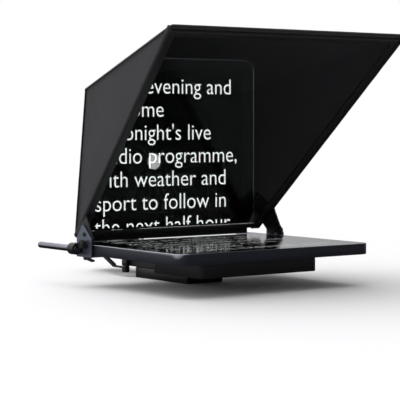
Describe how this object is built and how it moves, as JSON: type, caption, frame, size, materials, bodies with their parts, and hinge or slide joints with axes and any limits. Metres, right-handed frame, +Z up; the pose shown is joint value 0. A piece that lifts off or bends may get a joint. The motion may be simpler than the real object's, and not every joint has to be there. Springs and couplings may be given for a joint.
{
  "type": "teleprompter",
  "caption": "Camera teleprompter: flat monitor under a tilting 45-degree mirror glass in a black fabric hood, on a sliding rail with a camera riser.",
  "frame": {"origin": "centre of the tripod mounting face, the underside of the base block", "axes": "+Z up, -Y towards the presenter, +Y towards the camera, X = 0 is the plane of symmetry"},
  "size_m": [0.5352, 0.629, 0.4637],
  "materials": {
    "black_metal": "satin black anodised or painted aluminium",
    "grey_metal": "bead-blasted grey-blue aluminium",
    "steel": "bright zinc or nickel",
    "rubber": "matt black moulded grip",
    "plastic": "satin black moulding",
    "fabric": "black woven nylon over stiffener board",
    "mirror_glass": "beam-splitter coating on the front face",
    "screen": "black printed cover glass",
    "lcd": "panel in its metal bezel",
    "board": "solder resist"
  },
  "bodies": {
    "base": {"base_block": "black_metal", "rail_carriage": "black_metal", "carriage_gib": "steel", "lever_block": "black_metal"},
    "brake": {"brake_lever": "black_metal"},
    "rail": {"main_rail": "black_metal", "rail_end_stop": "black_metal", "monitor_mount_plate": "black_metal", "monitor_housing": "plastic", "screen_glass": "screen", "lcd_panel": "lcd", "electronics_box": "plastic", "controller_board": "board", "power_socket": "black_metal", "video_socket_1": "steel", "video_socket_2": "steel", "side_bracket_left": "grey_metal", "side_bracket_right": "grey_metal", "rod_clamp_left": "black_metal", "rod_clamp_right": "black_metal", "rod_screw_left": "steel", "rod_screw_right": "steel", "hinge_pin_left": "black_metal", "hinge_pin_right": "black_metal"},
    "riser": {"riser_foot": "black_metal", "riser_column_left": "black_metal", "riser_column_right": "black_metal"},
    "riser_knob": {"riser_lock_knob": "rubber"},
    "lift": {"lift_bracket": "black_metal"},
    "left_lift_knob": {"lift_knob_left": "rubber"},
    "right_lift_knob": {"lift_knob_right": "rubber"},
    "plate_knob": {"plate_lock_knob": "rubber"},
    "plate": {"camera_plate": "black_metal"},
    "screw": {"camera_screw": "steel"},
    "pin": {"video_pin": "steel"},
    "button_1": {"menu_button_1": "rubber"},
    "button_2": {"menu_button_2": "rubber"},
    "button_3": {"menu_button_3": "rubber"},
    "button_4": {"menu_button_4": "rubber"},
    "switch": {"power_switch": "plastic"},
    "left_rod": {"side_rod_left": "grey_metal"},
    "right_rod": {"side_rod_right": "grey_metal"},
    "left_tilt_knob": {"tilt_knob_left": "rubber"},
    "right_tilt_knob": {"tilt_knob_right": "rubber"},
    "left_foot_lever": {"foot_lever_left": "black_metal"},
    "right_foot_lever": {"foot_lever_right": "black_metal"},
    "hood": {"hinge_ear_left": "grey_metal", "hinge_ear_right": "grey_metal", "frame_bar_bottom": "black_metal", "frame_bar_right": "black_metal", "frame_bar_top": "black_metal", "frame_bar_left": "black_metal", "mirror_glass": "mirror_glass", "hood_panel_left": "fabric", "hood_panel_right": "fabric", "hood_top_panel": "fabric", "hood_front_lip": "fabric", "hood_rear_panel": "fabric", "light_skirt": "fabric", "lens_shroud": "fabric"}
  },
  "joints": [
    {"name": "rail_slide", "type": "slide", "parent": "base", "child": "rail", "axis": [0, 1, 0], "range_m": [-0.04, 0.025]},
    {"name": "brake_turn", "type": "hinge", "parent": "base", "child": "brake", "pos_m": [-0.047, 0.0875, 0.02], "axis": [0, 0, 1], "range_deg": [0, 75]},
    {"name": "riser_slide", "type": "slide", "parent": "rail", "child": "riser", "axis": [0, 1, 0], "range_m": [-0.012, 0.018]},
    {"name": "riser_knob_spin", "type": "hinge", "parent": "riser", "child": "riser_knob", "pos_m": [0.045, 0.19, 0.05], "axis": [1, 0, 0], "continuous": true},
    {"name": "lift_slide", "type": "slide", "parent": "riser", "child": "lift", "axis": [0, 0, 1], "range_m": [-0.025, 0.018]},
    {"name": "left_lift_knob_spin", "type": "hinge", "parent": "lift", "child": "left_lift_knob", "pos_m": [-0.0433, 0.19, 0.112], "axis": [-1, 0, 0], "continuous": true},
    {"name": "right_lift_knob_spin", "type": "hinge", "parent": "lift", "child": "right_lift_knob", "pos_m": [0.0433, 0.19, 0.112], "axis": [1, 0, 0], "continuous": true},
    {"name": "plate_knob_spin", "type": "hinge", "parent": "lift", "child": "plate_knob", "pos_m": [0.0433, 0.215, 0.1865], "axis": [1, 0, 0], "continuous": true},
    {"name": "plate_slide", "type": "slide", "parent": "lift", "child": "plate", "axis": [0, 1, 0], "range_m": [-0.015, 0.02]},
    {"name": "camera_screw_spin", "type": "hinge", "parent": "plate", "child": "screw", "pos_m": [0, 0.185, 0.193], "axis": [0, 0, 1], "continuous": true},
    {"name": "video_pin_press", "type": "slide", "parent": "plate", "child": "pin", "axis": [0, 0, -1], "range_m": [0, 0.0045], "stiffness_N_per_m": 600},
    {"name": "button_1_press", "type": "slide", "parent": "rail", "child": "button_1", "axis": [-1, 0, 0], "range_m": [0, 0.0008], "stiffness_N_per_m": 1200},
    {"name": "button_2_press", "type": "slide", "parent": "rail", "child": "button_2", "axis": [-1, 0, 0], "range_m": [0, 0.0008], "stiffness_N_per_m": 1200},
    {"name": "button_3_press", "type": "slide", "parent": "rail", "child": "button_3", "axis": [-1, 0, 0], "range_m": [0, 0.0008], "stiffness_N_per_m": 1200},
    {"name": "button_4_press", "type": "slide", "parent": "rail", "child": "button_4", "axis": [-1, 0, 0], "range_m": [0, 0.0008], "stiffness_N_per_m": 1200},
    {"name": "switch_rock", "type": "hinge", "parent": "rail", "child": "switch", "pos_m": [0.1335, -0.16, 0.044], "axis": [0, 0, 1], "range_deg": [0, 14]},
    {"name": "left_rod_slide", "type": "slide", "parent": "rail", "child": "left_rod", "axis": [0, 1, 0], "range_m": [0, 0.012]},
    {"name": "right_rod_slide", "type": "slide", "parent": "rail", "child": "right_rod", "axis": [0, 1, 0], "range_m": [0, 0.012]},
    {"name": "left_tilt_knob_spin", "type": "hinge", "parent": "rail", "child": "left_tilt_knob", "pos_m": [-0.2273, -0.048, 0.08], "axis": [-1, 0, 0], "continuous": true},
    {"name": "right_tilt_knob_spin", "type": "hinge", "parent": "rail", "child": "right_tilt_knob", "pos_m": [0.2273, -0.048, 0.08], "axis": [1, 0, 0], "continuous": true},
    {"name": "left_foot_lever_turn", "type": "hinge", "parent": "rail", "child": "left_foot_lever", "pos_m": [-0.211, -0.025, 0.0555], "axis": [0, 0, 1], "range_deg": [-90, 90]},
    {"name": "right_foot_lever_turn", "type": "hinge", "parent": "rail", "child": "right_foot_lever", "pos_m": [0.211, -0.025, 0.0555], "axis": [0, 0, 1], "range_deg": [-90, 90]},
    {"name": "frame_tilt", "type": "hinge", "parent": "rail", "child": "hood", "pos_m": [0, -0.044, 0.098], "axis": [1, 0, 0], "range_deg": [-8, 45]}
  ]
}
